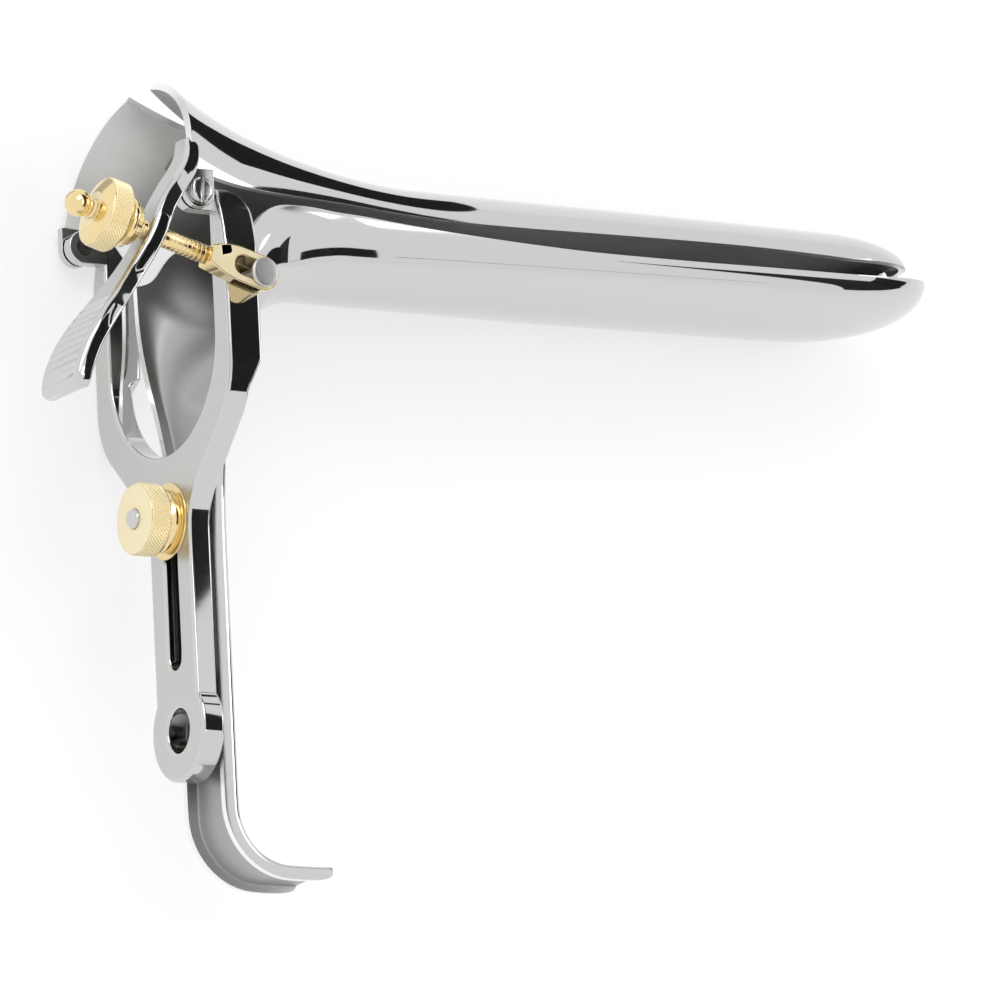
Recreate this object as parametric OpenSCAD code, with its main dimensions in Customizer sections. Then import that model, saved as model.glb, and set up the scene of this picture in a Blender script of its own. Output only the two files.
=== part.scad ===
/* [Blades] */
// Length of the lower blade from the hinge axis to its tip
lower_reach = 137.4; // [110:0.1:160]
// Length of the upper blade from the hinge axis to its tip
upper_reach = 133.6; // [105:0.1:156]
// Half the width of the lower blade at its widest
lower_half_w = 16; // [14:0.1:18]
// Half the width of the upper blade at its widest
upper_half_w = 15.4; // [13:0.1:17]
// Depth of the lower blade's trough halfway along it
trough_depth = 5.7; // [4.5:0.1:10]
// Height of the upper blade's arch halfway along it
arch_height = 7; // [5:0.1:10]
// Thickness of the sheet that the blades are pressed from
sheet = 1.1; // [0.8:0.05:1.5]
// Height of the lower blade's underside at the yoke, below the hinge axis
underside_drop = 9.2; // [8:0.1:12]
// Height of the lower blade's underside near its tip, below the hinge axis
tip_drop = 7.4; // [6:0.1:11]
// Gap between the free edges of the closed blades
edge_gap = 2.6; // [1.5:0.1:4]

/* [Mouth of the upper blade] */
// Height of the top of the mouth above the hinge axis
mouth_top = 20.6; // [16:0.1:26]
// Height of the ears' lower edge above the hinge axis
ear_foot = 3.1; // [2.5:0.1:4]
// How far the ears stand out behind the hinge axis, towards the operator
ear_back = 1.6; // [0.5:0.1:3]
// How far the top of the mouth leans towards the tip, from the ears
mouth_lean = 3.6; // [0:0.1:6]
// Distance from the hinge axis to where the flare has run out into the blade
flare_end = 42; // [30:1:60]
// Width of the V notch at the mouth
notch_w = 6.8; // [3:0.1:10]
// Depth of the V notch along the blade
notch_l = 15; // [8:0.1:20]

/* [Handle] */
// Width of the handle channel
handle_w = 12; // [10:0.1:14]
// Depth of the handle channel over its flanges
handle_depth = 3.1; // [2.5:0.1:5]
// Radius of the bend from the blade into the handle, on the outside skin
bend_r = 20; // [14:0.1:26]
// Distance from the hinge axis down to the centre of the hook's bend
hook_drop = 88; // [80:0.1:110]
// Radius of the hook's bend, on the outside skin
hook_r = 8; // [5:0.1:12]
// Straight length of the hook after its bend
hook_l = 6.5; // [2:0.1:15]
// Height of the trough's wall at its highest, by the yoke
shoulder_h = 13.3; // [10:0.1:16]

/* [Yoke] */
// Thickness of the yoke's slotted strip
strip_t = 3.7; // [2.5:0.1:5]
// Width of the slotted strip
strip_w = 12; // [10:0.1:14]
// Thickness of the yoke's two arms
arm_t = 5.6; // [3.7:0.1:6.5]
// Space between the lower blade's shoulders and the yoke's arms, on each side
shoulder_gap = 0.8; // [0.5:0.1:2]
// Width of the yoke's two arms
arm_w = 4.4; // [3.4:0.1:6]
// Height of the window's foot below the hinge axis
window_foot = 34.3; // [28:0.1:40]
// Radius of the yoke's shoulders
shoulder_r = 12; // [6:0.1:15]
// Radius of the hollow where the strip meets the shoulders
strip_fillet_r = 9; // [4:0.1:12]
// Radius of the arms' upper back corners
arm_end_r = 4; // [2:0.1:5]
// Drop from the hinge axis to the eye's centre
eye_drop = 76.2; // [72:0.1:90]
// Radius of the eye at the strip's lower end
eye_r = 7.6; // [6.5:0.1:9]
// Radius of the hole in the eye
eye_hole_r = 3.2; // [2:0.05:4]
// Width of the slot
slot_w = 3.6; // [3.2:0.1:5]
// Travel of the yoke along the slot
slide_travel = 20; // [10:0.5:22]
// Distance from the hinge axis to the front of the yoke, towards the tip
yoke_front = 3.3; // [3:0.1:5]

/* [Handle stud and thumb nut] */
// Drop from the hinge axis to the stud
stud_drop = 45; // [43:0.1:50]
// Radius of the stud
stud_r = 1.5; // [1:0.05:2]
// Radius of the thumb nut over its knurl
nut_r = 5.4; // [4:0.1:7]
// Length of the thumb nut's knurled part
nut_knurl_l = 3.4; // [2:0.1:5]
// Length of the thumb nut's smooth collar
nut_collar_l = 1.9; // [1:0.1:3]
// Radius of the thumb nut's smooth collar
nut_collar_r = 4.7; // [3:0.1:6]
// Thickness of the washer under the thumb nut
washer_t = 0.4; // [0.3:0.05:1]
// Radius of the washer
washer_r = 5.7; // [4.5:0.1:7]

/* [Hinge] */
// Space between the yoke's hinge lugs and those of the upper blade
lug_gap = 0.5; // [0.3:0.1:1]
// Radius of the hinge lugs
lug_r = 2.5; // [2.4:0.1:3]
// Thickness of the yoke's hinge lugs
yoke_lug_t = 1.9; // [1.4:0.1:2.5]
// Thickness of the upper blade's hinge lugs
blade_lug_t = 1.2; // [0.8:0.1:2]
// Radius of the hinge screws' shanks
pin_r = 1.3; // [0.8:0.05:1.6]
// Radius of the hinge screws' heads
pin_head_r = 1.9; // [1.7:0.05:2.4]
// Height of the hinge screws' heads
pin_head_h = 0.9; // [0.8:0.05:2]
// Width of the slot in a screw's head
driver_slot_w = 0.5; // [0.3:0.05:1]
// Depth of the slot in a screw's head
driver_slot_d = 0.4; // [0.3:0.05:0.6]

/* [Thumb lever] */
// Thickness of the lever
lever_t = 2.6; // [2:0.1:3.5]
// Width of the lever's neck
neck_w = 5.6; // [5:0.1:8]
// Width of the thumb pad
pad_w = 11.5; // [8:0.1:14]
// Reach of the lever behind the hinge axis, towards the operator
lever_reach = 25.6; // [20:0.1:32]
// Drop of the lever's end below the hinge axis
lever_drop = 33; // [26:0.1:38]
// Height of the lever's root above the hinge axis
lever_root = 8.2; // [6:0.1:12]
// Depth of the grooves across the thumb pad
groove_d = 0.45; // [0.2:0.05:0.6]
// Number of grooves across the thumb pad
groove_count = 10; // [5:1:14]

/* [Adjusting rod] */
// Radius of the threaded rod
rod_r = 1.4; // [1:0.05:1.6]
// Distance from the hinge axis to the rod's pivot, towards the tip
pivot_x = 7.2; // [4:0.1:8]
// Drop from the hinge axis to the rod's pivot
pivot_drop = 12.9; // [10:0.1:16]
// Slope of the rod, falling towards the tip
rod_slope = 15.8; // [8:0.1:20]
// Radius of the end ball
ball_r = 2; // [1.6:0.1:3]
// Length of the rod's flat eye
rod_eye_l = 11.6; // [9:0.1:14]
// Height of the rod's flat eye
rod_eye_w = 5.8; // [4.5:0.1:8]
// Thickness of the rod's flat eye
rod_eye_t = 3.8; // [2.8:0.1:5]
// Length of the slot in the rod's flat eye, between its end centres
rod_slot_l = 3.4; // [2:0.1:5]
// Radius of the pivot screw's shoulder
pivot_r = 1.35; // [1:0.05:1.8]
// Radius of the pivot screw's head
pivot_head_r = 2.6; // [2:0.1:3.5]
// Height of the pivot screw's head
pivot_head_h = 1; // [0.6:0.1:2]
// Radius of the upper nut over its knurl
rod_nut_r = 5.3; // [4:0.1:7]
// Length of the upper nut's knurled part
rod_nut_l = 3.3; // [2:0.1:5]
// Length of the upper nut's sloping face
rod_nut_face_l = 0.9; // [0.5:0.1:2]
// Radius of the thrust collar's wide ring
collar_r = 3.7; // [3:0.1:5]
// Length of the thrust collar
collar_l = 3; // [1.5:0.1:4]

/* [Fits] */
// Clearance round a pin or shank in its hole
running_fit = 0.06; // [0.02:0.01:0.1]
// Space between pieces that slide or turn past each other
side_gap = 0.3; // [0.2:0.05:0.5]

/* [Hidden] */
$fn = 48;

// Overrun of every cut past the face that it opens
overrun = 0.5;
// Points on each side of a blade's section, and the shape of that section
section_steps = 9;
round_section = 2;
boxy_section = 5;
// Width of the rounded tip of the blades, before its two sides close
tip_half_w = 1.5;

// The outside skin of the handle's web, and the centres of the sheet's two bends
web_x = yoke_front + strip_t + side_gap + handle_depth;
bend_c = [web_x + bend_r, -underside_drop - bend_r];
hook_c = [web_x + hook_r, -hook_drop];

// Half the width of the window, half the width over the arms, and half the width of the mouth at the ears
shoulder_share = 0.925;
window_half_w = lower_half_w * shoulder_share + shoulder_gap;
yoke_half_w = window_half_w + arm_w;
mouth_half_w = window_half_w + yoke_lug_t + lug_gap + blade_lug_t;

// The course of the lower blade's outside skin, from the tip to the end of the hook: each station is
// [place, angle of the wall's direction, half width, wall height, how boxy the section is]
tip_l = 0.16 * lower_reach;
tip_shares = [0, 0.04, 0.14, 0.29, 0.46, 0.64, 0.82, 1];
function tip_round(share) = sqrt(1 - pow(1 - share, 2));
edge_y = -tip_drop + trough_depth;
// Lift of the lower blade's tip above its free edges
tip_lift = 2.6;
tip_stations = [for (s = tip_shares)
    let (x = lower_reach - s * tip_l, r = tip_round(s), top = edge_y + tip_lift * pow(1 - s, 1.6),
         low = top - (top + tip_drop) * pow(r, 1.15) - 1.5 * sheet * (1 - r))
    [[x, low], 90, tip_half_w + (lower_half_w - tip_half_w) * r, top - low, round_section]];
// Depth of the trough where its bend begins, and how the walls rise towards the shoulder
shoulder_from = trough_depth + underside_drop - tip_drop;
body_x_shares = [0.74, 0.64, 0.54, 0.44, 0.36, 0.29, 0.24];
body_drop_shares = [0.09, 0.25, 0.41, 0.58, 0.73, 0.87, 0.96];
body_w_shares = [1, 1, 0.99, 0.97, 0.95, 0.94, 0.93];
body_rise_shares = [-0.04, -0.09, -0.1, -0.05, 0.03, 0.15, 0.24];
body_stations = [for (i = [0:len(body_x_shares) - 1])
    let (x = body_x_shares[i] * lower_reach)
    [[x, -tip_drop - body_drop_shares[i] * (underside_drop - tip_drop)], 90, body_w_shares[i] * lower_half_w,
     trough_depth + body_drop_shares[i] * (underside_drop - tip_drop)
         + body_rise_shares[i] * (shoulder_h - shoulder_from), round_section]];
// Along the bend the wall rises to its shoulder, then falls to the handle's flange
bend_angles = [0, 8, 15, 22, 28, 33, 38, 45, 52, 60, 68, 76, 83, 90];
bend_h_shares = [0.29, 0.36, 0.57, 0.81, 1, 0.93, 0.71, 0.59];
bend_w_shares = [0.925, 0.92, 0.915, 0.91, 0.91, 0.91, 0.905, 0.9, 0.89, 0.85, 0.78, 0.7, 0.63, 0.57];
bend_stations = [for (i = [0:len(bend_angles) - 1])
    let (a = bend_angles[i], flange_h = (bend_r + handle_depth) / max(sin(a), sin(45)) - bend_r,
         h = i < len(bend_h_shares)
             ? min(shoulder_from + bend_h_shares[i] * (shoulder_h - shoulder_from),
                   a < 45 ? shoulder_h : flange_h)
             : flange_h)
    [bend_c + bend_r * [-sin(a), cos(a)], 90 + a, bend_w_shares[i] * lower_half_w, h,
     round_section + (boxy_section - round_section) * pow(a / 90, 3)]];
handle_y_shares = [0.4, 0.46, 0.52, 0.6, 0.8, 0.95];
handle_w_extra_shares = [0.3, 0.1, 0, 0, 0, 0];
handle_stations = [for (i = [0:len(handle_y_shares) - 1])
    [[web_x, -handle_y_shares[i] * hook_drop], 180,
     handle_w / 2 + handle_w_extra_shares[i] * (lower_half_w * 0.57 - handle_w / 2),
     handle_depth, boxy_section]];
hook_angles = [0, 15, 30, 45, 60, 75, 90];
hook_stations = [for (a = hook_angles)
    [hook_c + hook_r * [-cos(a), -sin(a)], 180 + a, handle_w / 2,
    handle_depth * (1 - 0.2 * a / 90), boxy_section]];
hook_end_shares = [0.5, 0.85, 1];
hook_end_h_shares = [0.8, 0.72, 0.5];
hook_end_stations = [for (i = [0:len(hook_end_shares) - 1])
    [hook_c + [hook_end_shares[i] * hook_l, -hook_r], 270, handle_w / 2, hook_end_h_shares[i] * handle_depth,
     boxy_section]];
lower_stations = concat(tip_stations, body_stations, bend_stations, handle_stations, hook_stations,
                        hook_end_stations);

// An open section: along the sheet's outside skin from one free edge to the other, then back along its inside
function skin_point(w, h, n, t) =
    [sign(sin(t)) * w * pow(abs(sin(t)), 2 / n), h * (1 - pow(abs(cos(t)), 2 / n))];
function section_angles() = [for (i = [-section_steps:section_steps]) 90 * i / section_steps];
function open_section(w, h, n, t) = let (angles = section_angles(), last = len(angles) - 1)
    concat([for (a = angles) skin_point(w, h, n, a)],
           [for (i = [last:-1:0]) skin_point(w - t, h - t, n, angles[i]) + [0, t]]);
// The section laid out in space: across the part, and along the wall's direction from the skin's place
function placed_section(station) = let (wall = [cos(station[1]), sin(station[1])])
    [for (p = open_section(station[2], station[3], station[4], sheet))
        [station[0].x + wall.x * p.y, station[0].y + wall.y * p.y, p.x]];

module swept_sheet(stations) {
    rings = [for (s = stations) placed_section(s)];
    n = len(rings[0]);
    points = [for (ring = rings) for (p = ring) p];
    sides = [for (r = [0:len(rings) - 2]) for (i = [0:n - 1])
        let (j = (i + 1) % n) each [[r * n + i, (r + 1) * n + i, (r + 1) * n + j],
                                    [r * n + i, (r + 1) * n + j, r * n + j]]];
    steps = n / 2;
    caps = [for (r = [0, len(rings) - 1]) for (i = [0:steps - 2])
        let (a = r * n + i, b = r * n + i + 1, c = r * n + n - 2 - i, d = r * n + n - 1 - i)
        each (r == 0 ? [[a, b, c], [a, c, d]] : [[c, b, a], [d, c, a]])];
    polyhedron(points, concat(sides, caps), convexity = 10);
}

// The course of the upper blade, from its tip to the mouth; its sections lean at the mouth
upper_edge = edge_y + edge_gap;
upper_tip_l = 0.13 * upper_reach;
upper_tip_stations = [for (s = tip_shares)
    let (x = upper_reach - s * upper_tip_l, r = tip_round(s),
         foot = upper_edge + 1.6 / 7 * arch_height * pow(1 - s, 1.6),
         top = foot + (upper_edge + arch_height - foot) * pow(r, 1.15) + 1.5 * sheet * (1 - r))
    [[x, top], -90, tip_half_w + (upper_half_w - tip_half_w) * r, top - foot, round_section]];
upper_x_shares = [0.75, 0.64, 0.53, 0.43, 0.35];
upper_body_stations = [for (s = upper_x_shares)
    [[s * upper_reach, upper_edge + arch_height], -90, upper_half_w * (0.975 + 0.025 * s / upper_x_shares[0]),
     arch_height, round_section]];
// The flare: a share of the way from the blade's body to the mouth, and how far the section has opened
flare_shares = [0, 0.12, 0.25, 0.38, 0.5, 0.6, 0.7, 0.78, 0.86, 0.93, 1];
function flare_open(s) = pow(s, 1.75);
function flare_wide(s) = pow(s, 3.2);
flare_stations = [for (s = flare_shares)
    let (x = flare_end - s * (flare_end + ear_back), top = upper_edge + arch_height
             + flare_open(s) * (mouth_top - upper_edge - arch_height),
         foot = upper_edge + pow(s, 3) * (ear_foot - upper_edge),
         w = upper_half_w * 0.975 + flare_wide(s) * (mouth_half_w - upper_half_w * 0.975))
    [[x + flare_wide(s) * mouth_lean, top],
     -90 - flare_wide(s) * atan(mouth_lean / (mouth_top - ear_foot)), w, top - foot, round_section]];

function reversed(list) = [for (i = [len(list) - 1:-1:0]) list[i]];

module upper_hinge_lug(side) {
    z = side > 0 ? mouth_half_w - blade_lug_t : -mouth_half_w;
    translate([0, 0, z]) linear_extrude(blade_lug_t) difference() {
        union() {
            circle(lug_r);
            translate([-ear_back - sheet / 2, 0]) square([ear_back + sheet / 2 + lug_r, ear_foot + sheet]);
        }
        circle(pin_r + running_fit);
    }
}

module lower_blade() color("silver") difference() {
    swept_sheet(lower_stations);
    translate([web_x - handle_depth, -stud_drop, 0]) rotate([0, 90, 0])
        cylinder(r = stud_r, h = handle_depth + overrun);
}

module upper_blade() color("silver") difference() {
    union() {
        swept_sheet(reversed(concat(upper_tip_stations, upper_body_stations, flare_stations)));
        upper_hinge_lug(1);
        upper_hinge_lug(-1);
    }
    notch_floor = upper_edge + arch_height;
    translate([-ear_back, notch_floor, 0]) rotate([-90, 0, 0])
        linear_extrude(mouth_top)
            polygon([[-mouth_lean, -notch_w / 2], [mouth_lean + ear_back, -notch_w / 2],
                     [notch_l + ear_back, 0],
                     [mouth_lean + ear_back, notch_w / 2], [-mouth_lean, notch_w / 2]]);
}

// The yoke's outline, seen from the operator: across the part, and up
// An arc that rounds the corner at b between a and c, from a's side to c's side
function rounded(a, b, c, r, steps = 9) = let (
    u = (a - b) / norm(a - b), v = (c - b) / norm(c - b), half = acos(u * v) / 2,
    centre = b + (u + v) / norm(u + v) * r / sin(half),
    from = b + u * r / tan(half) - centre, to = b + v * r / tan(half) - centre,
    turn = atan2(from.x * to.y - from.y * to.x, from * to))
    [for (k = [0:steps]) let (t = turn * k / steps)
        centre + [from.x * cos(t) - from.y * sin(t), from.x * sin(t) + from.y * cos(t)]];

shoulder_corner = [yoke_half_w, -window_foot + 0.235 * yoke_half_w];
strip_corner = shoulder_corner - (yoke_half_w - strip_w / 2) * [1, 1];
arm_turn_y = -0.5 * yoke_half_w;
arm_top_y = upper_edge + side_gap;
arm_top_half_w = window_half_w + yoke_lug_t;
arm_turn = [yoke_half_w, arm_turn_y];
yoke_side = concat(
    [[0, -eye_drop], [strip_w / 2, -eye_drop]],
    rounded([strip_w / 2, -eye_drop], strip_corner, shoulder_corner, strip_fillet_r),
    rounded(strip_corner, shoulder_corner, arm_turn, shoulder_r),
    [arm_turn],
    [for (s = [0.25, 0.5, 0.75, 1])
        [yoke_half_w - (yoke_half_w - arm_top_half_w) * pow(s, 2),
         arm_turn_y + s * (arm_top_y - arm_turn_y)]],
    [[0, arm_top_y]]);

module yoke_half_outline() polygon(yoke_side);

module yoke_window() {
    translate([0, -window_foot + window_half_w * 0.95]) circle(window_half_w);
    translate([-window_half_w, -window_foot + window_half_w * 0.95])
        square([2 * window_half_w, window_foot + ear_foot + overrun]);
}

module yoke_outline() difference() {
    union() {
        yoke_half_outline();
        mirror([1, 0]) yoke_half_outline();
        translate([0, -eye_drop]) circle(eye_r);
    }
    yoke_window();
    translate([0, -eye_drop]) circle(eye_hole_r);
    slot_half_w = slot_w / 2;
    for (y = [-stud_drop, -stud_drop - slide_travel - side_gap]) translate([0, y]) circle(slot_half_w);
    translate([-slot_half_w, -stud_drop - slide_travel - side_gap])
        square([slot_w, slide_travel + side_gap]);
}

// Turns a flat outline, across the part and up, so that it gains thickness towards the tip
module stand_across(x, t) translate([x, 0, 0]) rotate([0, 90, 0]) linear_extrude(t) children();

module yoke_lug(side) {
    z = side > 0 ? window_half_w : -window_half_w - yoke_lug_t;
    translate([0, 0, z]) linear_extrude(yoke_lug_t) union() {
        circle(lug_r);
        translate([0, -lug_r]) square([yoke_front + overrun, lug_r + arm_top_y]);
    }
}

// An arm is thicker than the strip, and thins down to it below the shoulder
arm_root_z = window_half_w;
arm_root_y = strip_corner.y + arm_root_z - strip_w / 2;
module thick_arm() intersection() {
    stand_across(yoke_front, arm_t) yoke_outline();
    translate([0, 0, arm_root_z]) linear_extrude(yoke_half_w)
        polygon([[yoke_front, arm_root_y], [yoke_front + strip_t, arm_root_y],
                 [yoke_front + arm_t, shoulder_corner.y], [yoke_front + arm_t, arm_top_y],
                 [yoke_front, arm_top_y]]);
}

module yoke_frame() color("gainsboro") difference() {
    union() {
        stand_across(yoke_front, strip_t) yoke_outline();
        for (side = [0, 1]) mirror([0, 0, side]) thick_arm();
        yoke_lug(1);
        yoke_lug(-1);
    }
    for (side = [-1, 1]) {
        translate([0, 0, side > 0 ? window_half_w - overrun : -window_half_w - yoke_lug_t - overrun])
            cylinder(r = pin_r, h = yoke_lug_t + 2 * overrun);
    }
    translate([pivot_x, -pivot_drop, window_half_w - overrun]) cylinder(r = pivot_r, h = yoke_half_w);
    arm_end = [yoke_front + arm_t, arm_top_y];
    translate([arm_end.x - arm_end_r, arm_end.y - arm_end_r, -2 * yoke_half_w])
        linear_extrude(4 * yoke_half_w) difference() {
            square(arm_end_r + overrun);
            circle(arm_end_r);
        }
}

// A slotted screw that stands on the XY plane, its shank hanging down
module slotted_screw(shank_r, shank_l, head_r, head_h) difference() {
    union() {
        translate([0, 0, -shank_l]) cylinder(r = shank_r, h = shank_l);
        rotate_extrude() polygon([[0, 0], [head_r, 0], [head_r, head_h * 0.6], [head_r * 0.86, head_h * 0.9],
                                  [head_r * 0.6, head_h], [0, head_h]]);
    }
    translate([-driver_slot_w / 2, -head_r - overrun, head_h - driver_slot_d])
        cube([driver_slot_w, 2 * (head_r + overrun), driver_slot_d + overrun]);
}

hinge_shank_l = mouth_half_w - window_half_w + running_fit;
module near_hinge_screw() color("lightgray") translate([0, 0, mouth_half_w + running_fit])
    slotted_screw(pin_r, hinge_shank_l, pin_head_r, pin_head_h);
module far_hinge_screw() color("lightgray") mirror([0, 0, 1]) near_hinge_screw();

// The stud riveted in the handle's web, with its flat head on the outside skin
module handle_stud() color("lightgray") translate([web_x - sheet, -stud_drop, 0]) rotate([0, -90, 0]) {
    stud_l = web_x - sheet - yoke_front + washer_t + nut_collar_l + nut_knurl_l + side_gap;
    translate([0, 0, -sheet]) cylinder(r = stud_r, h = sheet + stud_l);
    translate([0, 0, running_fit]) cylinder(r = strip_w / 4, h = handle_depth - sheet - side_gap);
    translate([0, 0, stud_l]) rotate_extrude() polygon([[0, 0], [stud_r, 0], [stud_r * 0.8, stud_r * 0.25],
                                                        [stud_r * 0.4, stud_r * 0.38], [0, stud_r * 0.4]]);
}

module slide_washer() color("gold") translate([yoke_front, -stud_drop, 0]) rotate([0, -90, 0])
    difference() {
        cylinder(r = washer_r, h = washer_t);
        translate([0, 0, -overrun]) cylinder(r = stud_r + running_fit, h = washer_t + 2 * overrun);
    }

module thumb_nut() color("gold")
    translate([yoke_front - washer_t, -stud_drop, 0]) rotate([0, -90, 0]) difference() {
        rotate_extrude() polygon([[0, 0], [nut_collar_r, 0], [nut_collar_r, nut_collar_l * 0.6],
            [nut_collar_r * 0.93, nut_collar_l * 0.8], [nut_collar_r * 0.93, nut_collar_l],
            [nut_r * 0.96, nut_collar_l], [nut_r, nut_collar_l + nut_r * 0.04],
            [nut_r, nut_collar_l + nut_knurl_l - nut_r * 0.06], [nut_r * 0.94, nut_collar_l + nut_knurl_l],
            [0, nut_collar_l + nut_knurl_l]]);
        translate([0, 0, -overrun])
            cylinder(r = stud_r + running_fit, h = nut_collar_l + nut_knurl_l + 2 * overrun);
    }

// The thumb lever's middle line, from its root on the ear to its end: a soft S, behind and below the hinge
lever_x_shares = [0.01, 0.06, 0.13, 0.235, 0.34, 0.405, 0.47, 0.585, 0.715, 0.835, 0.93, 0.985, 1];
lever_y_shares = [1, 0.925, 0.86, 0.785, 0.69, 0.6, 0.53, 0.43, 0.33, 0.235, 0.14, 0.05, 0];
lever_line = [for (i = [0:len(lever_x_shares) - 1])
    [-lever_x_shares[i] * lever_reach, -lever_drop + lever_y_shares[i] * (lever_drop + lever_root)]];
function lever_normal(i) = let (a = lever_line[max(i - 1, 0)],
    b = lever_line[min(i + 1, len(lever_line) - 1)],
    d = (b - a) / norm(b - a)) [-d.y, d.x];
module lever_profile() polygon(concat(
    [for (i = [0:len(lever_line) - 1]) lever_line[i] + lever_normal(i) * lever_t / 2],
    [for (i = [len(lever_line) - 1:-1:0]) lever_line[i] - lever_normal(i) * lever_t / 2]));
// How far across the part the rod's middle and the lever's neck stand, outside the near arm
rod_z = yoke_half_w + side_gap + rod_eye_t / 2;
function rod_dir() = [-cos(rod_slope), sin(rod_slope)];
rod_start = [pivot_x, -pivot_drop];
function cross_product(a, b) = a.x * b.y - a.y * b.x;
// How far along the rod, and along each stretch of the lever's middle line, the two lines meet
function stretch(i) = lever_line[i + 1] - lever_line[i];
function meet_on_rod(i) =
    cross_product(lever_line[i] - rod_start, stretch(i)) / cross_product(rod_dir(), stretch(i));
function meet_on_lever(i) =
    cross_product(lever_line[i] - rod_start, rod_dir()) / cross_product(rod_dir(), stretch(i));
crossed = [for (i = [0:len(lever_line) - 2]) if (meet_on_lever(i) >= 0 && meet_on_lever(i) < 1) i][0];
lever_cross = meet_on_rod(crossed);
cross_at = rod_start + lever_cross * rod_dir();

// The lever seen from the operator: from its root on the ear it runs out to stand over the rod, then widens
// to the pad; each entry is a share of its height, from its end up, and the shares of its two sides
plan_y_shares = [0, 0.06, 0.3, 0.42, 0.56, 0.76, 1];
plan_in_shares = [0.75, 0.9, 0.85, 0.1, 0, 0, -0.4];
plan_lean_shares = [0, 0, 0, 0, 0, 0.12, 1];
module lever_plan() {
    lean = rod_z + neck_w / 2 - mouth_half_w;
    wide = (pad_w - neck_w) / 2;
    function plan_y(i) = -lever_drop + plan_y_shares[i] * (lever_drop + lever_root);
    function plan_mid(i) = rod_z - lean * plan_lean_shares[i];
    polygon(concat(
        [for (i = [0:len(plan_y_shares) - 1])
            [plan_y(i), plan_mid(i) - neck_w / 2 - wide * plan_in_shares[i]]],
        [for (i = [len(plan_y_shares) - 1:-1:0])
            [plan_y(i), plan_mid(i) + neck_w / 2 + wide * plan_in_shares[i]]]));
}

// Round-bottomed grooves across the outward face of the pad, evenly spaced between two shares of its height
groove_end_shares = [0.035, 0.31];
groove_r = groove_d * 1.15;
function on_lever(share) = let (i = [for (k = [0:len(lever_y_shares) - 2])
        if (share <= lever_y_shares[k] && share > lever_y_shares[k + 1]) k][0],
    part = (lever_y_shares[i] - share) / (lever_y_shares[i] - lever_y_shares[i + 1]),
    across = stretch(i) / norm(stretch(i)))
    [lever_line[i] + part * stretch(i), [across.y, -across.x]];
module pad_grooves() {
    for (i = [0:groove_count - 1]) {
        step = (groove_end_shares[1] - groove_end_shares[0]) / (groove_count - 1);
        place = on_lever(groove_end_shares[0] + i * step);
        middle = place[0] + place[1] * (lever_t / 2 + groove_r - groove_d);
        translate([middle.x, middle.y, rod_z - pad_w]) cylinder(r = groove_r, h = 2 * pad_w, $fn = 16);
    }
}

module thumb_lever() color("silver") difference() {
    intersection() {
        translate([0, 0, rod_z - 2 * pad_w]) linear_extrude(4 * pad_w) lever_profile();
        translate([-2 * lever_reach, 0, 0]) rotate([90, 0, 90])
            linear_extrude(3 * lever_reach) lever_plan();
    }
    pad_grooves();
    // The long hole that the rod passes through, on the rod's own slope
    translate([cross_at.x, cross_at.y, rod_z]) rotate([0, 0, -rod_slope]) rotate([0, 90, 0])
        translate([0, 0, -2 * lever_t]) linear_extrude(4 * lever_t) {
            for (s = [-1, 1]) translate([0, s * rod_r * 0.7]) circle(rod_r + side_gap);
            translate([-rod_r - side_gap, -rod_r * 0.7]) square([2 * (rod_r + side_gap), 1.4 * rod_r]);
        }
}

// Lays a piece that is drawn along +Z onto the rod's line, from the pivot towards the ball
module on_rod(distance) translate([pivot_x, -pivot_drop, rod_z]) rotate([0, 0, 180 - rod_slope])
    translate([distance, 0, 0]) rotate([0, 90, 0]) children();

rod_eye_end = rod_eye_w / 2;
module adjusting_rod() color("gold") {
    translate([pivot_x, -pivot_drop, rod_z]) rotate([0, 0, 180 - rod_slope]) difference() {
        union() {
            translate([0, 0, -rod_eye_t / 2]) linear_extrude(rod_eye_t) {
                circle(rod_eye_end);
                polygon([[0, -rod_eye_end], [rod_eye_l * 0.4, -rod_eye_end],
                         [rod_eye_l - rod_eye_end, -rod_r],
                         [rod_eye_l - rod_eye_end, rod_r], [rod_eye_l * 0.4, rod_eye_end], [0, rod_eye_end]]);
            }
            rotate([0, 90, 0]) translate([0, 0, rod_eye_l * 0.6])
                cylinder(r = rod_r, h = ball_reach - rod_eye_l * 0.6);
        }
        translate([0, 0, -rod_eye_t]) linear_extrude(2 * rod_eye_t) {
            circle(pivot_r + running_fit);
            translate([rod_slot_l, 0]) circle(pivot_r + running_fit);
            translate([0, -pivot_r - running_fit]) square([rod_slot_l, 2 * (pivot_r + running_fit)]);
        }
    }
}

module rod_end_ball() color("gold") on_rod(ball_reach) difference() {
    union() {
        sphere(ball_r);
        translate([0, 0, -ball_r * 0.85]) cylinder(r = ball_r * 0.75, h = ball_r * 0.5);
    }
    translate([0, 0, -2 * ball_r]) cylinder(r = rod_r, h = 2 * ball_r);
}

// The lever slopes against the rod, so the collar's rim stands off the lever's middle line
// The lever leans across the rod, so the collar stands off by what its lower rim needs to rock on it
lever_slant = acos(-lever_normal(crossed + 1) * rod_dir());
rocking_gap = 2.5 * side_gap;
collar_at = lever_cross + lever_t / 2 / cos(lever_slant) + collar_r * tan(lever_slant) + rocking_gap;
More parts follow.
